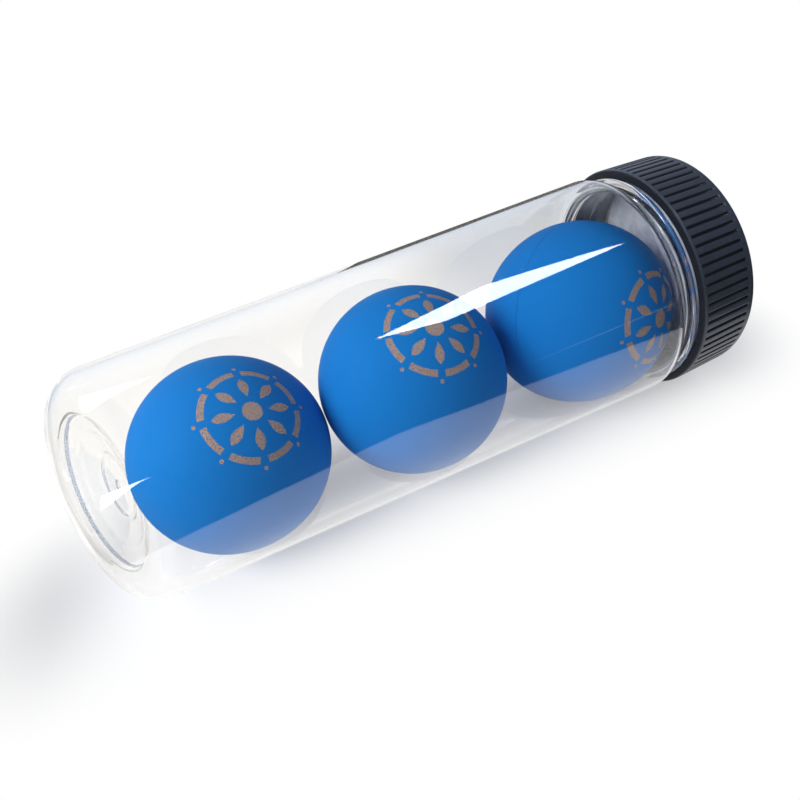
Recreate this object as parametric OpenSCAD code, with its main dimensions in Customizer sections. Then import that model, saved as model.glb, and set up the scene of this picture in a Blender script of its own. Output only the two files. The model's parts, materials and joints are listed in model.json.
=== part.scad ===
// Three rubber balls in a clear plastic jar with a ribbed screw cap, lying on its side.
// X runs along the jar from its base to its cap, Z is up, and the table is at Z = 0.

/* [Balls] */
// Outside diameter of a ball
ball_d = 57.15; // [52:0.05:62]
// Rubber wall of a ball
ball_wall = 4; // [3:0.5:6]
// Thickness of the cement film between the two half shells
bond_t = 0.2; // [0.1:0.05:0.4]
// How far the cement film stays back from the outside of the ball
bond_inset = 0.1; // [0.05:0.05:0.3]
// Running gap between a ball and whatever it lies against
ball_gap = 0.2; // [0.1:0.05:0.4]
// Lean of each ball's pole from upright, from the base end to the cap end
pole_lean = [40, 30, 75]; // [0:1:180]
// Turn of each ball's pole about the upright
pole_turn = [-50, -65, -66]; // [-180:1:180]

/* [Jar body] */
// Room across the jar's bore beyond a ball
bore_play = 9.85; // [7:0.05:12]
// Wall of the jar's body
jar_wall = 0.8; // [0.6:0.05:1.2]
// Radius of the heel, where the body turns into the base
heel_r = 9; // [6:0.5:12]
// Width of the flat ring that the jar stands on
ring_w = 1.6; // [1:0.1:3]
// Height of the step inside the standing ring
step_h = 1.7; // [1:0.1:2.5]
// Width of that step's slope
step_w = 1; // [0.5:0.1:2]
// Height of the pushed-up middle of the base
push_up = 4; // [2.8:0.1:6]
// Free room between the pushed-up base and the first ball, along the jar
end_play = 2.3; // [0.5:0.1:5]
// Outside radius of the shoulder
shoulder_r = 5; // [4:0.1:7]
// Angle at which the inside of the shoulder leaves its arc for the neck
shoulder_end = 30; // [20:1:40]

/* [Jar neck] */
// Room across the neck's bore beyond a ball
neck_play = 1.25; // [0.8:0.05:2]
// Wall of the neck
neck_wall = 1; // [0.8:0.05:1.4]
// Fillet between shoulder and neck
neck_fillet = 1.2; // [0.6:0.1:2]
// Distance from the lip of the neck's bore to the end of that fillet
neck_foot = 0.45; // [0.2:0.05:0.8]
// Height of the neck from its bore's lip to its rim
neck_h = 17.5; // [17:0.1:22]
// Chamfer round the rim
rim_chamfer = 0.25; // [0.1:0.05:0.35]
// Distance from the lip of the neck's bore to the middle of the ledge under the cap
ledge_off = 2.1; // [1.8:0.05:2.5]
// Height of the ledge over the neck
ledge_h = 2.4; // [0.4:0.1:2.8]
// Width of the ledge
ledge_w = 1.4; // [0.8:0.1:1.6]

/* [Screw thread] */
// Rise of the thread in one turn, six turns to the inch
thread_pitch = 4.233; // [4:0.001:5]
// Turns of thread on the neck and in the cap
thread_turns = 1.25; // [1:0.05:1.5]
// Height of a thread ridge
ridge_h = 1.15; // [0.8:0.05:1.3]
// Width of a ridge at its root
ridge_root_w = 2.1; // [1.6:0.05:2.3]
// Width of a ridge at its crest
ridge_crest_w = 0.9; // [0.5:0.05:1.1]
// Radial gap between a crest and the wall that it faces
thread_gap = 0.4; // [0.3:0.05:0.6]
// Gap between two ridges' flanks, measured along the jar
thread_play = 0.45; // [0.35:0.05:0.7]
// Distance from the rim to the middle of the last ridge
thread_top = 2.6; // [2:0.1:3.5]

/* [Screw cap] */
// Gap between the ledge and the mouth of the cap
mouth_gap = 0.2; // [0.1:0.05:1]
// Thickness of the cap's end wall
cap_top_t = 1.6; // [1:0.1:2.5]
// Wall of the cap at its mouth
skirt_wall = 2.45; // [1.8:0.05:3]
// Wall of the cap beside the liner
crown_wall = 2.2; // [1.6:0.05:2.6]
// How far the mouth flares out from the thread's bore
mouth_flare = 0.6; // [0.5:0.05:1]
// Length of that flare along the cap
flare_h = 4; // [3:0.1:5]
// Rounding of the mouth's outer edge
mouth_round = 0.7; // [0.4:0.05:0.95]
// Rounding of the cap's far rim
crown_round = 1.1; // [0.6:0.1:1.8]
// Number of grooves round the grip
groove_count = 80; // [60:1:96]
// Width of a groove
groove_w = 0.9; // [0.5:0.05:1.2]
// Depth of a groove
groove_depth = 0.55; // [0.3:0.05:0.6]
// Plain band between the mouth and the grooves
mouth_band = 1; // [1:0.1:3]
// Plain band between the grooves and the far rim's rounding
crown_band = 1; // [0.5:0.1:3]

/* [Cap liner] */
// Thickness of the liner disc
liner_t = 1; // [0.6:0.1:1.6]
// Gap round the liner's edge
liner_gap = 0.35; // [0.2:0.05:0.6]

/* [Hidden] */
$fn = 96;

// How far a cut runs past what it cuts
overrun = 1;
// How far a thread ridge is sunk into its wall
ridge_sink = 0.3;
// Straight steps in an arc of the profiles, in the ledge and in the dome of the base
arc_steps = 12;
// Straight steps in one turn of a thread, and in the run-out at each of its ends
turn_steps = 48;
fade_steps = 6;

ball_r = ball_d / 2;
bore_r = (ball_d + bore_play) / 2;
jar_r = bore_r + jar_wall;
neck_bore_r = (ball_d + neck_play) / 2;
neck_r = neck_bore_r + neck_wall;
crest_r = neck_r + ridge_h;
thread_bore_r = crest_r + thread_gap;
cap_crest_r = thread_bore_r - ridge_h;
mouth_r = thread_bore_r + mouth_flare;
cap_r = mouth_r + skirt_wall;
crown_r = thread_bore_r + crown_wall;

// Each ball lies on the bore's lowest line, so its centre is below the jar's own axis
ball_drop = bore_r - ball_r - ball_gap;
first_ball_s = push_up + jar_wall + end_play + ball_r;
ball_step = ball_d + ball_gap;
function ball_s(i) = first_ball_s + i * ball_step;
last_ball_s = ball_s(len(pole_lean) - 1);

// The lip of the neck's bore is where the last ball comes to rest
lip_reach = ball_r + ball_gap;
lip_s = last_ball_s + sqrt(pow(lip_reach, 2) - pow(neck_bore_r - ball_drop, 2));
rim_s = lip_s + neck_h;
total_l = rim_s + liner_t + cap_top_t;
mouth_s = lip_s + ledge_off + ledge_w / 2 + mouth_gap;
cap_h = total_l - mouth_s;
axis_z = max(jar_r, cap_r);

// The shoulder's arc and the neck's fillet touch each other, and the fillet ends on the neck
shoulder_centre_r = jar_r - shoulder_r;
fillet_s = lip_s + neck_foot;
fillet_centre_r = neck_r + neck_fillet;
shoulder_rise = fillet_centre_r - shoulder_centre_r;
shoulder_run = sqrt(pow(shoulder_r + neck_fillet, 2) - pow(shoulder_rise, 2));
shoulder_s = fillet_s - shoulder_run;
touch_angle = atan2(shoulder_rise, shoulder_run);

// The base, from the middle out: a dome, a step, the standing ring and the heel
ring_out_r = jar_r - heel_r;
ring_in_r = ring_out_r - ring_w;
dome_r = ring_in_r - step_w;
dome_h = push_up - step_h;
step_shift = jar_wall / 2;

// Ridges of the cap lie below those of the neck, towards the base, and pull the cap down
flank_slope = (ridge_root_w - ridge_crest_w) / 2 / (ridge_h + ridge_sink);
ridge_drop = ridge_crest_w + flank_slope * (crest_r - cap_crest_r) + thread_play;
thread_rise = thread_pitch * thread_turns;
neck_thread_s = rim_s - thread_top - thread_rise;
cap_thread_s = neck_thread_s - ridge_drop;

// The cap's side is a cone from its mouth to its far rim
side_h = cap_h - crown_round;
taper = atan2(cap_r - crown_r, side_h);
groove_h = side_h - mouth_band - crown_band;

// Points of an arc in the profile plane, as [radius, distance along the jar]
function arc(centre_r, centre_s, r, from, to) = [
    for (i = [0:arc_steps])
        let (a = from + (to - from) * i / arc_steps)
            [centre_r + r * sin(a), centre_s + r * cos(a)]
];

// Points of the base's dome from the axis out, raised by lift
function dome(out_r, lift) = [
    for (i = [0:arc_steps])
        let (share = i / arc_steps)
            [out_r * share, push_up + lift - dome_h * share * share]
];

function backwards(points) = [for (i = [len(points) - 1:-1:0]) points[i]];

// Points of the ledge, which stands on the neck as half an ellipse
function ledge() = [
    for (i = [0:arc_steps])
        let (a = 180 * i / arc_steps)
            [neck_r + ledge_h * sin(a), lip_s + ledge_off - ledge_w / 2 * cos(a)]
];

// Half section of the jar: up its outside and back down its inside
jar_outside = concat(
    dome(dome_r, 0),
    [[ring_in_r, 0]],
    arc(ring_out_r, heel_r, heel_r, 180, 90),
    arc(shoulder_centre_r, shoulder_s, shoulder_r, 90, touch_angle),
    arc(fillet_centre_r, fillet_s, neck_fillet, 180 + touch_angle, 270),
    ledge(),
    [[neck_r, rim_s - rim_chamfer], [neck_r - rim_chamfer, rim_s]]
);
jar_inside = concat(
    [[neck_bore_r + rim_chamfer, rim_s], [neck_bore_r, rim_s - rim_chamfer], [neck_bore_r, lip_s]],
    arc(shoulder_centre_r, shoulder_s, shoulder_r - jar_wall, shoulder_end, 90),
    arc(ring_out_r, heel_r, heel_r - jar_wall, 90, 180),
    [[ring_in_r - step_shift, jar_wall]],
    backwards(dome(dome_r - step_shift, jar_wall))
);

// Half section of the cap: out along its end wall, down its side and up its inside
cap_section = concat(
    [[0, total_l]],
    arc(crown_r - crown_round, total_l - crown_round, crown_round, 0, 90),
    arc(cap_r - mouth_round, mouth_s + mouth_round, mouth_round, 90, 180),
    [[mouth_r, mouth_s], [thread_bore_r, mouth_s + flare_h]],
    [[thread_bore_r, total_l - cap_top_t], [0, total_l - cap_top_t]]
);

// A thread ridge: one four-sided section carried up a helix, lower at both its ends
module ridge(wall_r, tip_r, start_s) {
    outward = tip_r > wall_r;
    steps = round(thread_turns * turn_steps);
    root_r = outward ? wall_r - ridge_sink : wall_r + ridge_sink;
    function fade(i) = min(1, (i + 1) / fade_steps, (steps - i + 1) / fade_steps);
    points = [
        for (i = [0:steps])
            let (
                a = 360 * i / turn_steps,
                s = start_s + thread_rise * i / steps,
                tip = wall_r + (tip_r - wall_r) * fade(i)
            )
            each [
                [root_r * cos(a), root_r * sin(a), s - ridge_root_w / 2],
                [tip * cos(a), tip * sin(a), s - ridge_crest_w / 2],
                [tip * cos(a), tip * sin(a), s + ridge_crest_w / 2],
                [root_r * cos(a), root_r * sin(a), s + ridge_root_w / 2]
            ]
    ];
    sides = [
        for (i = [0:steps - 1], j = [0:3])
            let (
                a = 4 * i + j,
                b = 4 * i + (j + 1) % 4
            )
            each [[a, b, b + 4], [a, b + 4, a + 4]]
    ];
    last = 4 * steps;
    ends = [[0, 3, 2], [0, 2, 1], [last, last + 1, last + 2], [last, last + 2, last + 3]];
    faces = concat(sides, ends);
    polyhedron(points, outward ? faces : [for (f = faces) backwards(f)]);
}

// Children are drawn with Z along the jar from its base, and laid down along X
module along_jar() {
    translate([-total_l / 2, 0, axis_z])
        rotate([0, 90, 0])
            children();
}

// Children are drawn round a ball's centre, with Z through the poles of its two halves
module at_ball(i) {
    translate([ball_s(i) - total_l / 2, 0, axis_z - ball_drop])
        rotate([0, pole_lean[i], pole_turn[i]])
            children();
}

module half_shell() {
    difference() {
        sphere(r = ball_r);
        sphere(r = ball_r - ball_wall);
        translate([-ball_d, -ball_d, bond_t / 2 - ball_d])
            cube([2 * ball_d, 2 * ball_d, ball_d]);
    }
}

module half_a(i) {
    color("#1a6fc0")
        at_ball(i)
            half_shell();
}

module half_b(i) {
    color("#1663b0")
        at_ball(i)
            mirror([0, 0, 1])
                half_shell();
}

module bond(i) {
    color("#202832")
        at_ball(i)
            difference() {
                cylinder(r = ball_r - bond_inset, h = bond_t, center = true);
                cylinder(r = ball_r - ball_wall, h = bond_t + overrun, center = true);
            }
}

module jar() {
    color([0.82, 0.87, 0.9, 0.35])
        along_jar()
            union() {
                rotate_extrude()
                    polygon(concat(jar_outside, jar_inside));
                ridge(neck_r, crest_r, neck_thread_s);
            }
}

module grip_grooves() {
    for (i = [0:groove_count - 1])
        rotate([0, 0, 360 * i / groove_count])
            translate([cap_r, 0, mouth_s])
                rotate([0, -taper, 0])
                    translate([-groove_depth, -groove_w / 2, mouth_band])
                        cube([groove_depth + overrun, groove_w, groove_h]);
}

module screw_cap() {
    color("#24272c")
        along_jar()
            union() {
                difference() {
                    rotate_extrude()
                        polygon(cap_section);
                    grip_grooves();
                }
                ridge(thread_bore_r, cap_crest_r, cap_thread_s);
            }
}

module cap_liner() {
    color("#5a606c")
        along_jar()
            translate([0, 0, rim_s])
                cylinder(r = thread_bore_r - liner_gap, h = liner_t);
}

jar();
screw_cap();
cap_liner();
half_a(0);  // ball_1_half_a
half_b(0);  // ball_1_half_b
bond(0);  // ball_1_bond
half_a(1);  // ball_2_half_a
half_b(1);  // ball_2_half_b
bond(1);  // ball_2_bond
half_a(2);  // ball_3_half_a
half_b(2);  // ball_3_half_b
bond(2);  // ball_3_bond
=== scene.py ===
# Looks for a clear screw-top jar that lies on its side with three rubber balls in it.
# Sizes in the dictionaries are in millimetres, and every mesh goes into Blender in metres.
import bpy
import json
import numpy as np
from mathutils import Matrix, Vector


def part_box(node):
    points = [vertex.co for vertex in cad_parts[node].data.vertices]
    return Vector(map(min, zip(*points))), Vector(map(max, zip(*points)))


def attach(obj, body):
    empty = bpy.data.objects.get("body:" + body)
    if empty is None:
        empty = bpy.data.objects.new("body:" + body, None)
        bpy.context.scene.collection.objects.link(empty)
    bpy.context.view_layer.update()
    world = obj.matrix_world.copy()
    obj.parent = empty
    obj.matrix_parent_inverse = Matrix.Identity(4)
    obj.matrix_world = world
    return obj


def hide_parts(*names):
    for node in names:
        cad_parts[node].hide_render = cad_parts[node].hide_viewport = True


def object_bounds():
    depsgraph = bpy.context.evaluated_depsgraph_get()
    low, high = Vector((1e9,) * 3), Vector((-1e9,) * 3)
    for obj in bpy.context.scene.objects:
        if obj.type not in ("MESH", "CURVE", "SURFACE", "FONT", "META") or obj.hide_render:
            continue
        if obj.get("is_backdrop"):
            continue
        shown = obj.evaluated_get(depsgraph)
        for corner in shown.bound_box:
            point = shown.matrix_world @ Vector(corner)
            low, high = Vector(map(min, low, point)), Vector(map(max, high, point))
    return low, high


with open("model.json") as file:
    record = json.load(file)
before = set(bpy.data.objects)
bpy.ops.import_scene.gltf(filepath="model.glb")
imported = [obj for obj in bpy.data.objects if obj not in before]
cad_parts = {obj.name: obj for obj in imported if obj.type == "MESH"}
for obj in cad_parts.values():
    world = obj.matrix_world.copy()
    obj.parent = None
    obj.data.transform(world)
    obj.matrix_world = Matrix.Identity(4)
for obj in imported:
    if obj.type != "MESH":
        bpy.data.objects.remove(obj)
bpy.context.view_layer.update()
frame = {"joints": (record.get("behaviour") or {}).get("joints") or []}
print("frame loaded")

mm = 0.001
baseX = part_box("jar")[0].x
axisHeight = next(j["pos_m"][2] for j in frame["joints"] if j["name"] == "cap_turn")
jarAxis = np.array([baseX, 0.0, axisHeight])


# Meshes

def arc(centreRadius, centreStation, radius, start, end, count):
    # Points (radius, station) of a circle's arc in the profile plane, angles from the station axis
    turn = np.radians(np.linspace(start, end, count))
    return np.stack([centreRadius + radius * np.sin(turn), centreStation + radius * np.cos(turn)], 1)


def line(start, end, count):
    return np.linspace(start, end, count)


def rounded(corners, step):
    # A line of straight runs with an arc in each corner: corners are (radius, station, rounding).
    # Each arc touches both runs, and its points turn evenly from one touching point to the other.
    parts = [np.array([corners[0][:2]], float)]
    for before, here, after in zip(corners, corners[1:], corners[2:]):
        point = np.array(here[:2], float)
        back = np.array(before[:2]) - point
        on = np.array(after[:2]) - point
        back, on = back / np.linalg.norm(back), on / np.linalg.norm(on)
        half = np.arccos(np.clip(back @ on, -1, 1)) / 2
        centre = point + (back + on) / np.linalg.norm(back + on) * here[2] / np.sin(half)
        fromCentre = point + back * here[2] / np.tan(half) - centre
        toCentre = point + on * here[2] / np.tan(half) - centre
        sweep = np.pi - 2 * half
        count = max(4, int(np.ceil(here[2] * sweep / step)))
        share = np.linspace(0, 1, count)[:, None]
        blend = np.sin((1 - share) * sweep) * fromCentre + np.sin(share * sweep) * toCentre
        parts.append(centre + blend / np.sin(sweep))
    parts.append(np.array([corners[-1][:2]], float))
    return np.concatenate(parts)


def joined(*runs):
    # One profile from several runs, leaving out points that lie on the one before
    points = np.concatenate(runs)
    keep = np.concatenate([[True], np.linalg.norm(np.diff(points, axis=0), axis=1) > 1e-4])
    return points[keep]


def turned(radius, station, angle):
    # A point at that radius and station, turned by angle about the jar's axis from its lowest line
    radius, station, angle = np.broadcast_arrays(radius, station, angle)
    return np.stack([station, radius * np.sin(angle), -radius * np.cos(angle)], -1) * mm + jarAxis


def around(count):
    return np.arange(count) * 2 * np.pi / count


def skin(rings):
    # Joins closed rings of points in order into one closed skin. Rings of equal count are joined by quads.
    # A ring with several times as many points as its neighbour is joined to it by flat faces, a group to an edge,
    # and a ring of one point closes the skin with triangles.
    starts = np.concatenate([[0], np.cumsum([len(r) for r in rings])])
    faces = []
    for k, (low, high) in enumerate(zip(rings, rings[1:])):
        a, b, n, m = starts[k], starts[k + 1], len(low), len(high)
        if n == m:
            i = np.arange(n)
            j = (i + 1) % n
            faces.append(np.stack([a + i, a + j, b + j, b + i], 1))
        elif n == 1:
            i = np.arange(m)
            faces.append(np.stack([a + 0 * i, b + (i + 1) % m, b + i], 1))
        elif m == 1:
            i = np.arange(n)
            faces.append(np.stack([a + i, a + (i + 1) % n, b + 0 * i], 1))
        elif n > m:
            i = np.arange(m)
            group = (i[:, None] * (n // m) + np.arange(n // m + 1)) % n
            faces.append(np.concatenate([a + group, b + ((i + 1) % m)[:, None], b + i[:, None]], 1))
        else:
            i = np.arange(n)
            group = (i[:, None] * (m // n) + np.arange(m // n, -1, -1)) % m
            faces.append(np.concatenate([a + i[:, None], a + ((i + 1) % n)[:, None], b + group], 1))
    return np.concatenate(rings), faces


def putMesh(name, points, faceGroups, sharpAngle=None):
    mesh = bpy.data.meshes.new(name)
    corners = np.concatenate([g.ravel() for g in faceGroups])
    counts = np.concatenate([np.full(len(g), g.shape[1]) for g in faceGroups])
    mesh.vertices.add(len(points))
    mesh.vertices.foreach_set("co", np.ascontiguousarray(points, np.float32).ravel())
    mesh.loops.add(len(corners))
    mesh.loops.foreach_set("vertex_index", corners.astype(np.int32))
    mesh.polygons.add(len(counts))
    mesh.polygons.foreach_set("loop_start", np.concatenate([[0], np.cumsum(counts)[:-1]]).astype(np.int32))
    mesh.update(calc_edges=True)
    mesh.validate()
    mesh.shade_smooth()
    if sharpAngle is not None:
        mesh.set_sharp_from_angle(angle=np.radians(sharpAngle))
    piece = bpy.data.objects.new(name, mesh)
    bpy.context.scene.collection.objects.link(piece)
    return piece


def dress(piece, material, body, slot, *nodes):
    piece.data.materials.append(material)
    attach(piece, body)
    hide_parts(*nodes)
    return piece


# Shader maths

class Wire:
    # A shader socket that can be used in sums: each operator adds a Math node to the socket's tree
    def __init__(self, tree, socket):
        self.tree, self.socket = tree, socket

    def math(self, operation, *values):
        return addNode(self.tree, "ShaderNodeMath", {"operation": operation}, dict(enumerate(values)))

    def __add__(self, other): return self.math("ADD", self, other)
    def __radd__(self, other): return self.math("ADD", other, self)
    def __sub__(self, other): return self.math("SUBTRACT", self, other)
    def __rsub__(self, other): return self.math("SUBTRACT", other, self)
    def __mul__(self, other): return self.math("MULTIPLY", self, other)
    def __rmul__(self, other): return self.math("MULTIPLY", other, self)
    def __truediv__(self, other): return self.math("DIVIDE", self, other)
    def __pow__(self, other): return self.math("POWER", self, other)
    def __lt__(self, other): return self.math("LESS_THAN", self, other)
    def __gt__(self, other): return self.math("GREATER_THAN", self, other)
    def __or__(self, other): return self.math("MAXIMUM", self, other)
    def __abs__(self): return self.math("ABSOLUTE", self)


def addNode(tree, kind, settings, values, output=0):
    # The one way to add a node: its type, its settings, and the values or links of its sockets
    node = tree.nodes.new(kind)
    for name, value in settings.items():
        setattr(node, name, value)
    for name, value in values.items():
        if isinstance(value, Wire):
            tree.links.new(value.socket, node.inputs[name])
        else:
            node.inputs[name].default_value = value
    return Wire(tree, node.outputs[output])


def smoothStep(value, low, high):
    return addNode(value.tree, "ShaderNodeMapRange", {"interpolation_type": "SMOOTHSTEP"},
                   {"Value": value, "From Min": low, "From Max": high})


def mixColour(factor, first, second):
    # Sockets 6 and 7 of a Mix node are its two colours, and output 2 is the mixed one
    tree = next(w.tree for w in (factor, first, second) if isinstance(w, Wire))
    first, second = (c if isinstance(c, Wire) else (*c, 1) for c in (first, second))
    return addNode(tree, "ShaderNodeMix", {"data_type": "RGBA"}, {0: factor, 6: first, 7: second}, 2)


def noise(tree, place, scale, detail=3.0, roughness=0.5):
    return addNode(tree, "ShaderNodeTexNoise", {},
                   {"Vector": place, "Scale": scale, "Detail": detail, "Roughness": roughness})


def bump(height, distance):
    return addNode(height.tree, "ShaderNodeBump", {}, {"Height": height, "Distance": distance, "Strength": 1.0})


def axisOf(vector, axis):
    # One of the three numbers of a vector socket
    return addNode(vector.tree, "ShaderNodeSeparateXYZ", {}, {0: vector}, axis)


def lightPath(tree, kind):
    return addNode(tree, "ShaderNodeLightPath", {}, {}, kind)


def startMaterial(name):
    material = bpy.data.materials.new(name)
    material.use_nodes = True
    material.node_tree.nodes.clear()
    return material, material.node_tree


def finishMaterial(tree, surface, volume=None):
    sockets = {"Surface": surface} if volume is None else {"Surface": surface, "Volume": volume}
    node = tree.nodes.new("ShaderNodeOutputMaterial")
    for name, wire in sockets.items():
        tree.links.new(wire.socket, node.inputs[name])


def objectPlace(tree):
    return addNode(tree, "ShaderNodeTexCoord", {}, {}, "Object")


# Clear plastic of the jar

clearPlastic = {
    "tint": (0.995, 0.990, 0.980), "ior": 1.57, "roughness": 0.01,
    "absorb": (0.55, 0.5, 0.42), "density": 55.0, "straight": (0.97, 0.97, 0.97),
    "waveSize": 55.0, "waveHeight": 0.00004, "baseWave": 8.0, "baseEnd": 0.006, "mostMirrors": 2.5,
}


def makeClearPlastic(s):
    material, tree = startMaterial("clearPlasticShade")
    place = objectPlace(tree)
    # The wall is slightly uneven, and the pushed-up base much more so
    onBase = smoothStep(axisOf(place, "X") - baseX, s["baseEnd"], s["baseEnd"] * 0.6)
    wave = noise(tree, place, s["waveSize"], 1.0) * (1 + onBase * s["baseWave"])
    glass = addNode(tree, "ShaderNodeBsdfPrincipled", {}, {
        "Base Color": (*s["tint"], 1), "Transmission Weight": 1.0, "IOR": s["ior"], "Roughness": s["roughness"],
        "Normal": bump(wave, s["waveHeight"])})
    clear = addNode(tree, "ShaderNodeBsdfTransparent", {}, {"Color": (*s["straight"], 1)})
    # Light that comes from lamps or off the balls passes straight through the thin wall,
    # and so does a path that has been mirrored inside the wall many times, which would end black
    shadow = lightPath(tree, "Is Shadow Ray")
    scattered = lightPath(tree, "Is Diffuse Ray")
    trapped = lightPath(tree, "Glossy Depth") > s["mostMirrors"]
    shade = addNode(tree, "ShaderNodeMixShader", {}, {0: shadow | scattered | trapped, 1: glass, 2: clear})
    volume = addNode(tree, "ShaderNodeVolumeAbsorption", {}, {"Color": (*s["absorb"], 1), "Density": s["density"]})
    finishMaterial(tree, shade, volume)
    return material


# Jar

jarShape = {
    "bodyRadius": 34.3, "wall": 0.8, "heel": 9.0, "pushUp": 4.0, "columns": 240,
    "ringWidth": 1.6, "stepWidth": 1.0, "stepHeight": 1.7,
    "baseRings": [(9.0, 0.35, 1.1), (17.5, -0.3, 1.6)], "nubHeight": 0.5, "nubRadius": 1.6, "nubEdge": 0.12,
    "shoulderStation": 160.132, "shoulderRadius": 5.0, "shoulderEnd": 30.0,
    "filletRadius": 1.2, "filletStation": 165.957,
    "lipStation": 165.507, "lipRound": 0.7, "rimStation": 183.007, "rimRound": 0.3,
    "neckRadius": 30.2, "neckBore": 29.2, "boreFoot": 167.0, "boreTop": 2.4,
    "threadBelow": 9.05, "rimPlain": 1.2,
    "ledgeOff": 2.1, "ledgeHeight": 2.4, "ledgeWidth": 1.4,
}
thread = {
    "pitch": 4.233, "turns": 1.25, "height": 1.15, "root": 2.1, "crest": 0.9, "fade": 45.0,
    "neckStart": 175.116, "capStart": 172.6, "neckBelow": 170.0,
}


def ridgeHeight(station, angle, start, t):
    # Height of the thread ridge over its wall: a slanted-sided band round a helix, lower towards both its ends
    height = np.zeros(np.broadcast(station, angle).shape)
    for lap in range(2):
        turn = angle + lap * 2 * np.pi
        middle = start + t["pitch"] * turn / (2 * np.pi)
        side = np.clip((t["root"] / 2 - np.abs(station - middle)) / ((t["root"] - t["crest"]) / 2), 0, 1)
        left = np.radians(360 * t["turns"]) - turn
        ends = np.clip(np.minimum(turn, left) / np.radians(t["fade"]), 0, 1)
        height = np.maximum(height, t["height"] * side * side * (3 - 2 * side) * np.sqrt(ends))
    return height


def makeJar(s, t):
    r, w = s["bodyRadius"], s["wall"]
    ringOut = r - s["heel"]
    ringIn = ringOut - s["ringWidth"]
    domeOut = ringIn - s["stepWidth"]
    domeHeight = s["pushUp"] - s["stepHeight"]

    def dome(outRadius, lift):
        # Station over the radius: a flat bowl, two shallow rings,
        # and on the outside the moulding nub in the middle
        radius = np.linspace(0, outRadius, 90)[:-2]
        bowl = s["pushUp"] + lift - domeHeight * (radius / outRadius) ** 2
        rings = sum(height * np.exp(-((radius - middle) / width) ** 2)
                    for middle, height, width in s["baseRings"])
        nub = s["nubHeight"] / (1 + np.exp((radius - s["nubRadius"]) / s["nubEdge"])) * (lift == 0)
        return np.stack([radius, bowl + rings - nub], 1)

    outDome, inDome = dome(domeOut, 0), dome(domeOut - w / 2, w)
    centre = r - s["shoulderRadius"]
    run = s["filletStation"] - s["shoulderStation"]
    touch = np.degrees(np.arctan2(s["neckRadius"] + s["filletRadius"] - centre, run))
    ledgeMiddle = s["lipStation"] + s["ledgeOff"]
    across = np.linspace(-1, 1, 15)
    rim, neck, bore = s["rimStation"], s["neckRadius"], s["neckBore"]
    ledgeRadius = neck + s["ledgeHeight"] * np.cos(across * np.pi / 2) ** 0.8
    ledge = np.stack([ledgeRadius, ledgeMiddle + across * s["ledgeWidth"] / 2], 1)
    threadLow, threadHigh = rim - s["threadBelow"], rim - s["rimPlain"]
    outside = joined(
        outDome,
        rounded([(*outDome[-1], 0), (domeOut, s["stepHeight"], 0.5), (ringIn, 0, 0.5), (ringOut, 0, 0.3),
                 (ringOut + 0.05, 0, 0)], 0.12),
        arc(ringOut, s["heel"], s["heel"], 180, 90, 28),
        line((r, s["heel"]), (r, s["shoulderStation"]), 12),
        arc(centre, s["shoulderStation"], s["shoulderRadius"], 90, touch, 20),
        arc(neck + s["filletRadius"], s["filletStation"], s["filletRadius"], 180 + touch, 270, 9),
        ledge,
        line((neck, ledgeMiddle + s["ledgeWidth"]), (neck, threadLow - 0.15), 3),
        line((neck, threadLow), (neck, threadHigh), 54),
        rounded([(neck, threadHigh + 0.1, 0), (neck, rim, s["rimRound"]), (bore, rim, s["rimRound"]),
                 (bore, threadHigh + 0.1, 0)], 0.08))
    shoulderInside = arc(centre, s["shoulderStation"], s["shoulderRadius"] - w, s["shoulderEnd"], 90, 14)
    inside = joined(
        line((bore, rim - s["boreTop"]), (bore, s["boreFoot"]), 4),
        rounded([(bore, s["boreFoot"] - 0.5, 0), (bore, s["lipStation"], s["lipRound"]), (*shoulderInside[0], 0)], 0.1),
        shoulderInside,
        line((r - w, s["shoulderStation"]), (r - w, s["heel"]), 12),
        arc(ringOut, s["heel"], s["heel"] - w, 90, 180, 22),
        rounded([(ringOut - 0.05, w, 0), (ringIn - w / 2, w, 0.6), (domeOut - w / 2, w + s["stepHeight"], 0.6),
                 (*inDome[-1], 0)], 0.15),
        inDome[::-1])
    profile = joined(outside, inside)
    angle = around(s["columns"])
    radius, station = profile[:, :1], profile[:, 1:]
    # The thread stands on the outside of the neck alone
    isOutside = (np.arange(len(profile)) < len(outside))[:, None]
    onNeck = isOutside & (np.abs(radius - neck) < 0.35) & (station > t["neckBelow"])
    swell = ridgeHeight(station, angle, t["neckStart"], t) * onNeck
    points = turned(radius + swell, station, angle)
    rings = [points[0][:1], *points[1:-1], points[-1][:1]]
    return putMesh("jarWall", *skin(rings))


jarWall = makeJar(jarShape, thread)
dress(jarWall, makeClearPlastic(clearPlastic), "jar", "clear_plastic", "jar")
print("jar made:", len(jarWall.data.polygons), "faces")


# Black plastic of the cap

# The mouth colour is painted shade, for the flat face at the cap's mouth and for its grooves.
capPlastic = {
    "colour": (0.019, 0.024, 0.037), "wornAndLit": (0.048, 0.059, 0.082), "mouth": (0.006, 0.008, 0.014),
    "roughness": 0.36, "mottle": 900.0, "grain": 5200.0, "grainHeight": 0.000012,
    # Dust and its two heights are painted light on the side that faces up, mixed towards the worn colour.
    "dust": 0.7, "topLightFrom": 0.008, "topLightTo": 0.034, "grooveShadeShare": 0.85,
}


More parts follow.
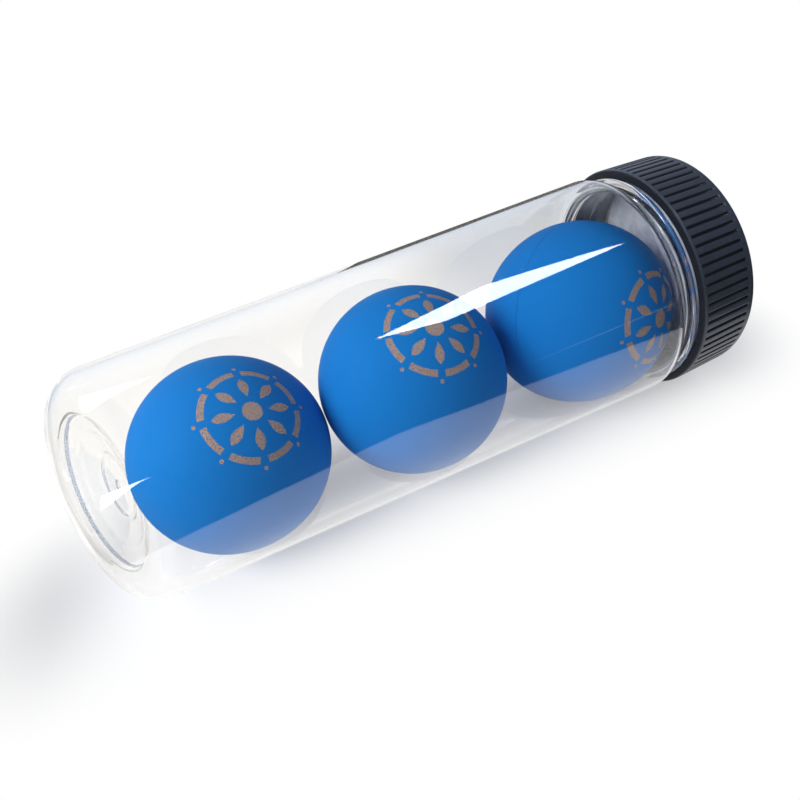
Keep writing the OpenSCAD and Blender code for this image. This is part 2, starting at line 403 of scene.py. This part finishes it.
def makeCapPlastic(s, shape):
    material, tree = startMaterial("capPlasticShade")
    place = objectPlace(tree)
    cloud = noise(tree, place, s["mottle"] / 8, 4.0, 0.6)
    grain = noise(tree, place, s["grain"], 2.0)
    rub = smoothStep(noise(tree, place, s["mottle"], 3.0, 0.65), 0.52, 0.75)
    fromMouth = axisOf(place, "X") - (baseX + shape["mouthStation"] * mm)
    # Painted shade: the flat face at the cap's mouth takes the dark mouth colour, as if in the shadow of the jar's
    # ledge
    mouth = smoothStep(fromMouth, 0.0003, 0.00005)
    # Depth under the tapering outside of the grip, for the painted shade in the grooves
    across, height = axisOf(place, "Y"), axisOf(place, "Z") - axisHeight
    sideLength = shape["endStation"] - shape["mouthStation"] - shape["mouthRound"] - shape["crownRound"]
    taper = (shape["mouthRadius"] - shape["crownRadius"]) / sideLength
    sideStart = (shape["mouthRadius"] + taper * shape["mouthRound"]) * mm
    depth = sideStart - fromMouth * taper - (across * across + height * height) ** 0.5
    onGrip = smoothStep(fromMouth, 0.0012, 0.0016) * smoothStep(fromMouth, 0.0158, 0.0150)
    grooveShadeMask = smoothStep(depth, 0.00008, 0.0004) * smoothStep(depth, 0.0010, 0.0007) * onGrip
    # Painted light: the side that faces up is made paler, towards the worn colour, as if lit from above
    dust = smoothStep(height, s["topLightFrom"], s["topLightTo"]) * s["dust"]
    body = mixColour(rub * 0.5 + cloud * 0.4 + dust, s["colour"], s["wornAndLit"])
    plastic = addNode(tree, "ShaderNodeBsdfPrincipled", {}, {
        "Base Color": mixColour(mouth | grooveShadeMask * s["grooveShadeShare"], body, s["mouth"]),
        "Roughness": s["roughness"] + (cloud - 0.5) * 0.16 + rub * 0.06 + mouth * 0.3,
        "IOR": 1.5,
        "Normal": bump(grain, s["grainHeight"])})
    finishMaterial(tree, plastic)
    return material


# Screw cap

capShape = {
    "mouthStation": 168.507, "endStation": 185.607, "mouthRadius": 34.8, "crownRadius": 33.95,
    "bore": 31.75, "flare": 0.6, "flareLength": 4.0, "endWall": 1.6, "mouthRound": 0.7, "crownRound": 1.1,
    "grooves": 80, "grooveDepth": 0.55, "mouthBand": 1.0, "crownBand": 1.0, "innerColumns": 240,
    "gateMark": [(1.9, 0), (1.6, 0.08), (1.2, 0.2), (0.5, 0.22)],
}
# Half of one groove and the land beside it: distance from the groove's middle, and share of the depth there
grooveAcross = np.array([[0, 1], [0.33, 1], [0.42, 0.9], [0.47, 0.14], [0.56, 0.0], [0.85, 0.0]])


def makeCap(s, t):
    mouth, end, crown = s["mouthStation"], s["endStation"], s["crownRadius"]
    pitch = 2 * np.pi / s["grooves"]
    halfPitch = pitch * (s["mouthRadius"] + crown) / 4
    places = np.concatenate([[[-halfPitch, 0]], grooveAcross[:0:-1] * [-1, 1], grooveAcross])
    angle = (np.arange(s["grooves"])[:, None] * pitch + places[:, 0] / halfPitch * pitch / 2).ravel()
    across = np.tile(places[:, 1], s["grooves"])
    foot = arc(s["mouthRadius"] - s["mouthRound"], mouth + s["mouthRound"], s["mouthRound"], 180, 90, 9)
    head = arc(crown - s["crownRound"], end - s["crownRound"], s["crownRound"], 90, 0, 9)
    low, high = mouth + s["mouthBand"], end - s["crownRound"] - s["crownBand"]
    # Stations up the grip, and the share of the depth that a groove has there: its ends are nearly square
    up = np.array([[low - 0.1, 0], [low - 0.02, 0.08], [low + 0.08, 0.9], [low + 0.2, 1], [low + 4, 1],
                   [(low + high) / 2, 1], [high - 4, 1], [high - 0.2, 1], [high - 0.08, 0.9],
                   [high + 0.02, 0.08], [high + 0.1, 0]])
    side = (up[:, 0] - foot[-1, 1]) / (head[0, 1] - foot[-1, 1])
    sideRadius = s["mouthRadius"] + (crown - s["mouthRadius"]) * side
    profile = np.concatenate([foot, np.stack([sideRadius, up[:, 0]], 1), head])
    share = np.concatenate([np.zeros(len(foot)), up[:, 1], np.zeros(len(head))])
    outside = turned(profile[:, :1] - s["grooveDepth"] * share[:, None] * across, profile[:, 1:], angle)
    innerAngle = around(s["innerColumns"]) - pitch / 2
    # The flat end face, with the small dip of its gate mark in the middle
    endFace = np.array([[crown - s["crownRound"] - 0.6, end], [20, end], [8, end],
                        *([radius, end - dip] for radius, dip in s["gateMark"])])
    topRings = turned(endFace[:, :1], endFace[:, 1:], innerAngle)
    dipEnd = end - s["gateMark"][-1][1]
    bore, inEnd = s["bore"], end - s["endWall"]
    insideProfile = joined(
        rounded([(bore + 0.02, inEnd, 0), (bore, inEnd, 0.0001), (bore, end - 3.5, 0)], 1),
        line((bore, end - 3.6), (bore, mouth + s["flareLength"]), 54),
        line((bore, mouth + s["flareLength"]), (bore + s["flare"], mouth), 18))
    ridge = ridgeHeight(insideProfile[:, 1:], np.mod(innerAngle, 2 * np.pi), t["capStart"], t)
    innerRings = turned(insideProfile[:, :1] - ridge, insideProfile[:, 1:], innerAngle)
    ceiling = turned(np.array([[8.0], [20.0]]), inEnd, innerAngle)
    # From the middle of the end face, out and down the grip, in at the mouth, up the bore and back to the middle
    rings = [turned(0, dipEnd, 0)[None], *topRings[::-1], *outside[::-1],
             *innerRings[::-1], *ceiling[::-1], turned(0, inEnd, 0)[None]]
    points, faces = skin(rings)
    faces = [f[:, ::-1] for f in faces]
    return putMesh("screwCapShell", points, faces, 55)


screwCapShell = makeCap(capShape, thread)
dress(screwCapShell, makeCapPlastic(capPlastic, capShape), "cap", "cap_plastic", "screw_cap")
print("cap made:", len(screwCapShell.data.polygons), "faces")


# Foam liner

foam = {
    "colour": (0.80, 0.84, 0.90), "deep": (0.45, 0.50, 0.60),
    "cells": 2600.0, "cloud": 160.0, "cellHeight": 0.00005,
}
linerShape = {"station": 183.007, "thickness": 1.0, "radius": 31.4, "edge": 0.2, "columns": 192}


def makeFoam(s):
    material, tree = startMaterial("linerFoamShade")
    place = objectPlace(tree)
    cells = addNode(tree, "ShaderNodeTexVoronoi", {}, {"Vector": place, "Scale": s["cells"]}, "Distance")
    cloud = noise(tree, place, s["cloud"], 4.0, 0.6)
    body = addNode(tree, "ShaderNodeBsdfPrincipled", {}, {
        "Base Color": mixColour(smoothStep(cloud, 0.3, 0.72), s["deep"], s["colour"]),
        "Roughness": 0.5 + cloud * 0.3, "Normal": bump(cells, s["cellHeight"])})
    finishMaterial(tree, body)
    return material


def makeLiner(s):
    # A flat disc with softened edges
    low, high, r, e = s["station"], s["station"] + s["thickness"], s["radius"], s["edge"]
    profile = joined(
        line((0, low), (r - 1, low), 6),
        rounded([(r - 0.9, low, 0), (r, low, e), (r, high, e), (r - 0.9, high, 0)], 0.08),
        line((r - 1, high), (0, high), 6))
    points = turned(profile[:, :1], profile[:, 1:], around(s["columns"]))
    return putMesh("linerDisc", *skin([points[0][:1], *points[1:-1], points[-1][:1]]))


linerDisc = makeLiner(linerShape)
dress(linerDisc, makeFoam(foam), "liner", "liner_foam", "cap_liner")
print("liner made")


# Rubber of the balls, with its printed ink

rubber = {
    "colour": (0.008, 0.195, 0.59), "shade": (0.006, 0.175, 0.56), "roughness": 0.62, "mirror": 0.12,
    "ink": (0.66, 0.49, 0.38), "inkDark": (0.24, 0.155, 0.115), "speckle": 3.1,
    "cloud": 60.0, "grain": 2400.0, "grainHeight": 0.000014, "dust": 260.0, "dustColour": (0.25, 0.4, 0.6),
    "firstBall": 0.0643, "pale": (0.62, 0.66, 0.70), "paintedReflectionShare": 0.85,
}
# The print, in mm round the middle of a half shell: a rosette of petals in a broken ring
printShape = {
    "hub": 2.6, "petals": 8, "petalFrom": 4.4, "petalTo": 10.4, "petalWidth": 1.75,
    "ringFrom": 11.9, "ringTo": 13.7, "gap": 0.17, "dots": 14.9, "dotSize": 0.55,
}


def makeRubber(s, p):
    material, tree = startMaterial("ballRubberShade")
    place = objectPlace(tree)
    flat = addNode(tree, "ShaderNodeUVMap", {"uv_map": "printMap"}, {})
    u, v = (axisOf(flat, k) * 100 for k in ("X", "Y"))
    reach = (u * u + v * v) ** 0.5
    turn = v.math("ARCTAN2", v, u)
    sector = 2 * np.pi / p["petals"]
    # Angle from the middle of the nearest gap, which is also that of the nearest petal
    fromPetal = abs(turn.math("PINGPONG", turn + 8 * sector, sector / 2))
    along = (reach - p["petalFrom"]) / (p["petalTo"] - p["petalFrom"])
    petalHalf = p["petalWidth"] * along * (1 - along) * 4 * (0.45 + 0.55 * along)
    petal = (reach * fromPetal < petalHalf) * (along > 0) * (along < 1)
    hub = reach < p["hub"]
    ringMiddle, ringHalf = (p["ringFrom"] + p["ringTo"]) / 2, (p["ringTo"] - p["ringFrom"]) / 2
    ring = (abs(reach - ringMiddle) < ringHalf) * (fromPetal > p["gap"] / 2)
    dotAcross, dotUp = reach * fromPetal, reach - p["dots"]
    dots = (dotAcross * dotAcross + dotUp * dotUp) < p["dotSize"] ** 2
    flatMm = addNode(tree, "ShaderNodeVectorMath", {"operation": "SCALE"}, {0: flat, "Scale": 100.0})
    speckle = noise(tree, flatMm, s["speckle"], 2.0, 0.6)
    ink = (petal | hub | ring | dots) * smoothStep(speckle, 0.34, 0.40)
    inkTone = mixColour(smoothStep(speckle, 0.40, 0.62), s["inkDark"], s["ink"])
    cloud = noise(tree, place, s["cloud"], 4.0, 0.55)
    grain = noise(tree, place, s["grain"], 3.0, 0.6)
    specks = addNode(tree, "ShaderNodeTexVoronoi", {}, {"Vector": place, "Scale": s["dust"]}, "Distance")
    dust = smoothStep(specks, 0.035, 0.0)
    # Painted reflection: the first ball is painted pale for paths that have met a mirror, so the uneven base of the jar
    # mirrors it pale
    mirrored = lightPath(tree, "Glossy Depth") > 0.5
    nearBase = axisOf(place, "X") < baseX + s["firstBall"]
    blue = mixColour(mirrored * nearBase * s["paintedReflectionShare"], mixColour(cloud, s["shade"], s["colour"]), s["pale"])
    dusty = mixColour(dust * 0.35, blue, s["dustColour"])
    body = addNode(tree, "ShaderNodeBsdfPrincipled", {}, {
        "Base Color": mixColour(ink * 0.96, dusty, inkTone),
        "Roughness": s["roughness"] + (cloud - 0.5) * 0.12 - ink * 0.12,
        "Metallic": ink * 0.3,
        "Specular IOR Level": s["mirror"],
        "Normal": bump(grain - ink * 0.4, s["grainHeight"])})
    finishMaterial(tree, body)
    return material


cement = {"dark": (0.006, 0.11, 0.38), "light": (0.009, 0.15, 0.5)}


def makeCement(s):
    material, tree = startMaterial("bondCementShade")
    cloud = noise(tree, objectPlace(tree), 900.0, 2.0)
    body = addNode(tree, "ShaderNodeBsdfPrincipled", {}, {
        "Base Color": mixColour(cloud, s["dark"], s["light"]), "Roughness": 0.5 + cloud * 0.2})
    finishMaterial(tree, body)
    return material


ballShape = {
    "radius": 28.575, "wall": 4.0, "cement": 0.2, "inset": 0.03, "edge": 0.05,
    "columns": 192, "rows": 48, "innerRows": 20,
}
# Each ball's pole, where its print is, and the print's own downward direction there
ballPoles = [
    ((0.413, -0.487, 0.771), (-0.039, -0.854, -0.518)),
    ((0.215, -0.458, 0.865), (0.502, -0.707, -0.499)),
    ((0.389, -0.885, 0.259), (-0.073, 0.250, 0.965)),
]


def ballAxes(pole, down):
    # Three unit directions: across the print, up the print, and out through the pole
    out = np.array(pole) / np.linalg.norm(pole)
    across = np.cross(np.array(down), out) * -1
    across /= np.linalg.norm(across)
    return np.stack([across, np.cross(out, across), out])


def spun(profile, columns):
    # Rings of (distance from the pole's axis, height) points turned about that axis
    angle = around(columns)
    radius, height = profile[:, :1], profile[:, 1:]
    return np.stack(np.broadcast_arrays(radius * np.cos(angle), radius * np.sin(angle), height), -1)


def makeHalf(name, centre, axes, side, s):
    # Half a hollow ball: outer sphere from its pole, a flat rim with softened edges,
    # and inner sphere back to the pole
    outer, inner, gap = s["radius"], s["radius"] - s["wall"], s["cement"] / 2
    lowest = np.arcsin((gap + s["edge"]) / outer)
    lean = np.linspace(0, np.pi / 2 - lowest, s["rows"])
    skinOut = np.stack([outer * np.sin(lean), outer * np.cos(lean)], 1)
    rim = np.array([[outer - 0.3 * s["edge"], gap + 0.3 * s["edge"]], [outer - s["edge"], gap], [inner, gap]])
    leanIn = np.linspace(np.pi / 2 - np.arcsin(gap / inner), 0, s["innerRows"])[1:]
    profile = np.concatenate([skinOut, rim, np.stack([inner * np.sin(leanIn), inner * np.cos(leanIn)], 1)])
    local = spun(profile * [1, side], s["columns"])
    points, faces = skin([local[0][:1], *local[1:-1], local[-1][:1]])
    if side > 0:
        faces = [f[:, ::-1] for f in faces]
    piece = putMesh(name, points @ axes * mm + centre, faces, 40)
    # The print's map: distance from the pole over the surface, in the direction seen from above,
    # with a tenth of a metre to a unit
    reach = np.linalg.norm(points[:, :2], axis=1)
    away = outer * np.arctan2(reach, points[:, 2])
    flat = points[:, :2] / np.maximum(reach, 1e-9)[:, None] * away[:, None] / 100
    corner = np.zeros(len(piece.data.loops), np.int32)
    piece.data.loops.foreach_get("vertex_index", corner)
    layer = piece.data.uv_layers.new(name="printMap")
    layer.data.foreach_set("uv", flat[corner].astype(np.float32).ravel())
    return piece


def makeBond(name, centre, axes, s):
    # The cement film: a flat ring between the two halves
    outer, inner, half = s["radius"] - s["inset"], s["radius"] - s["wall"], s["cement"] / 2
    soft = 0.04
    profile = np.array([[inner, -half], [outer - soft, -half], [outer, -half + soft],
                        [outer, half - soft], [outer - soft, half], [inner, half]])
    local = spun(profile, s["columns"])
    points, faces = skin([*local, local[0]])
    count = len(points) - s["columns"]
    faces = [np.where(f >= count, f - count, f) for f in faces]
    return putMesh(name, points[:count] @ axes * mm + centre, faces, 40)


rubberShade, cementShade = makeRubber(rubber, printShape), makeCement(cement)
for number, (pole, down) in enumerate(ballPoles, 1):
    low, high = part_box(f"ball_{number}_bond")
    centre = np.array((low + high) / 2)
    axes = ballAxes(pole, down)
    body = f"ball_{number}"
    for side, letter in ((1, "A"), (-1, "B")):
        half = makeHalf(f"ball{number}Half{letter}", centre, axes, side, ballShape)
        dress(half, rubberShade, body, "ball_rubber", f"{body}_half_{letter.lower()}")
    dress(makeBond(f"ball{number}Seam", centre, axes, ballShape), cementShade, body, "bond_cement", f"{body}_bond")
print("balls made")


# Floor, panels, lamp and world

studio = {
    "floorColour": (0.86, 0.86, 0.86), "paperShadowTone": 0.46, "floorReach": 2.5,
    "lieHalf": 0.112, "lieShift": 0.012, "whiteFrom": 0.0, "whiteTo": 0.044, "whiteLeast": 0.25,
    "throughGlass": 1.17, "capShadowShare": 0.6, "matShade": 0.02, "matHeight": 0.0004,
    "panelColour": (0.86, 0.95, 1.1), "panelLight": 11.0,
    "lampPower": 1.38, "lampPlace": (-0.27, -0.05, 0.30), "lampAim": (0, 0, 0.03),
    "lampSize": 0.22, "lampColour": (1.0, 0.97, 0.92),
    "skyMean": 0.30, "skyLean": 0.36, "skyTowards": (-0.6, 0.35, 0.7),
    "roomLeast": 0.03, "roomBack": 0.75, "roomOften": 0.55, "roomColour": (0.84, 0.95, 1.14),
}
# A dark mat round the front, the right and the back that only shows in gloss, as corners on the floor in millimetres.
# Its front edge is the border of the pale veil on the balls.
matCorners = [(-900, 420), (-900, -2400), (900, -2400), (900, 2400), (300, 2400), (20, 130), (135, 130), (135, -90),
              (110, -107), (89, -123), (38, -154), (20, -178), (7, -187), (-14, -174), (-40, -145), (-90, -112)]
# Bright panels that only show in the gloss of the jar and the cap, as corners in row millimetres
panels = {
    "overheadPanel": [(80, -172, 634), (184, -268, 634), (455, -190, 634), (232, -62, 634)],
    "backPanel": [(-204, 368, 634), (-330, 500, 634), (-285, 215, 634), (-262, 300, 634)],
    "frontPanel": [(-444, -809, 634), (-600, -1239, 634), (-370, -860, 634), (-340, -840, 634)],
}


def flatPiece(name, corners):
    points = np.array(corners, float)
    piece = putMesh(name, points, [np.arange(len(points))[None]])
    piece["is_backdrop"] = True
    return piece


def mirroredOnly(name, colour, strength, most):
    # A plain glow that only paths with one to most mirrors in them meet; all others pass through it
    material, tree = startMaterial(name)
    mirrors = lightPath(tree, "Glossy Depth")
    mirrored = (mirrors > 0.5) * (mirrors < most + 0.5)
    clear = addNode(tree, "ShaderNodeBsdfTransparent", {}, {})
    glow = addNode(tree, "ShaderNodeEmission", {}, {"Color": (*colour, 1), "Strength": strength})
    finishMaterial(tree, addNode(tree, "ShaderNodeMixShader", {}, {0: mirrored, 1: clear, 2: glow}))
    return material


def seenBy(piece, **rays):
    # Hides a piece from every kind of ray that isn't named
    for ray in ("camera", "diffuse", "glossy", "transmission", "volume_scatter", "shadow"):
        setattr(piece, "visible_" + ray, rays.get(ray, False))


def makeStage(s):
    reach = s["floorReach"]
    floor = flatPiece("floorSheet", [(-reach, -reach, 0), (reach, -reach, 0), (reach, reach, 0), (-reach, reach, 0)])
    material, tree = startMaterial("floorPaper")
    place = objectPlace(tree)
    # Distance from the line on which the jar lies
    along, across = axisOf(place, "X"), axisOf(place, "Y")
    past = (abs(along + s["lieShift"]) - s["lieHalf"]) | 0.0
    distance = (past * past + across * across) ** 0.5
    paper = noise(tree, place, 900.0, 3.0)
    # Painted shadow: the paper is darker past the base's end, where the lamp is near
    shadowedPaper = mixColour(smoothStep(along, -0.085, -0.13), s["floorColour"], (s["paperShadowTone"],) * 3)
    lit = addNode(tree, "ShaderNodeBsdfDiffuse", {}, {"Color": shadowedPaper, "Normal": bump(paper, 0.00002)})
    refracted = lightPath(tree, "Is Transmission Ray")
    plain = 1 + refracted * (s["throughGlass"] - 1)
    white = addNode(tree, "ShaderNodeEmission", {}, {"Color": (1, 1, 1, 1), "Strength": plain})
    scattered = lightPath(tree, "Is Diffuse Ray")
    # Painted shadow: through the glass the floor is less white near the cap
    capShadow = 1 - refracted * smoothStep(along, 0.015, 0.07) * s["capShadowShare"]
    far = s["whiteLeast"] + smoothStep(distance, s["whiteFrom"], s["whiteTo"]) * (1 - s["whiteLeast"])
    share = far * (1 - scattered) * capShadow
    finishMaterial(tree, addNode(tree, "ShaderNodeMixShader", {}, {0: share, 1: lit, 2: white}))
    floor.data.materials.append(material)

    mat = flatPiece("darkMat", [(x * mm, y * mm, s["matHeight"]) for x, y in matCorners])
    mat.data.materials.append(mirroredOnly("matShade", (1, 1, 1), s["matShade"], 1))
    seenBy(mat, glossy=True, transmission=True)
    glow = mirroredOnly("panelGlow", s["panelColour"], s["panelLight"], 3)
    for name, corners in panels.items():
        panel = flatPiece(name, np.array(corners) * mm)
        panel.data.materials.append(glow)
        seenBy(panel, glossy=True, transmission=True)

    lamp = bpy.data.lights.new("softLamp", "AREA")
    lamp.shape, lamp.size, lamp.energy, lamp.color = "DISK", s["lampSize"], s["lampPower"], s["lampColour"]
    holder = bpy.data.objects.new("softLamp", lamp)
    holder.location = s["lampPlace"]
    aim = Vector(s["lampAim"]) - Vector(s["lampPlace"])
    holder.rotation_euler = aim.to_track_quat("-Z", "Y").to_euler()
    seenBy(holder, diffuse=True, shadow=True)
    bpy.context.scene.collection.objects.link(holder)


def makeWorld(s):
    world = bpy.data.worlds.new("studioWorld")
    bpy.context.scene.world = world
    world.use_nodes = True
    tree = world.node_tree
    tree.nodes.clear()
    way = addNode(tree, "ShaderNodeTexCoord", {}, {}, "Generated")
    towards = Vector(s["skyTowards"]).normalized()
    lean = addNode(tree, "ShaderNodeVectorMath", {"operation": "DOT_PRODUCT"}, {0: way, 1: towards}, "Value")
    back, height = axisOf(way, "Y"), axisOf(way, "Z")
    scattered = lightPath(tree, "Is Diffuse Ray")
    refracted = lightPath(tree, "Is Transmission Ray")
    # A path that has met one mirror sees the dim room, one that has met more sees a grey,
    # and one that only went through glass sees the white
    mirrors = lightPath(tree, "Glossy Depth")
    once, often = (mirrors > 0.5) * (mirrors < 1.5), mirrors > 1.5
    sky = (s["skyMean"] + lean * s["skyLean"]) | 0.0
    room = s["roomLeast"] + smoothStep(back - height * 0.25, 0.1, 0.95) * s["roomBack"]
    plain = 1 + refracted * (s["throughGlass"] - 1)
    seen = once * room + often * s["roomOften"] + (1 - once - often) * plain
    strength = scattered * sky + (1 - scattered) * seen
    colour = mixColour(scattered | once, (1, 1, 1), s["roomColour"])
    shade = addNode(tree, "ShaderNodeBackground", {}, {"Color": colour, "Strength": strength})
    node = tree.nodes.new("ShaderNodeOutputWorld")
    tree.links.new(shade.socket, node.inputs["Surface"])


makeStage(studio)
makeWorld(studio)
print("studio made")


# Camera

camera = {
    "place": (-0.03313, -0.1373, 0.1438), "right": (0.913, -0.357, -0.196), "up": (0.378, 0.562, 0.736),
    "lens": 26.64, "sensor": 36.0, "nearest": 0.005, "furthest": 20.0,
}


def makeCamera(s):
    lens = bpy.data.cameras.new("mainCamera")
    lens.sensor_width, lens.lens = s["sensor"], s["lens"]
    lens.clip_start, lens.clip_end = s["nearest"], s["furthest"]
    holder = bpy.data.objects.new("mainCamera", lens)
    right = Vector(s["right"]).normalized()
    back = right.cross(Vector(s["up"])).normalized()
    up = back.cross(right)
    holder.matrix_world = Matrix.Translation(s["place"]) @ Matrix((right, up, back)).transposed().to_4x4()
    bpy.context.scene.collection.objects.link(holder)
    bpy.context.scene.camera = holder


makeCamera(camera)
bpy.context.scene.view_settings.view_transform = "Standard"

low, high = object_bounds()
print("visual box", [round(v, 5) for v in (*low, *high)])
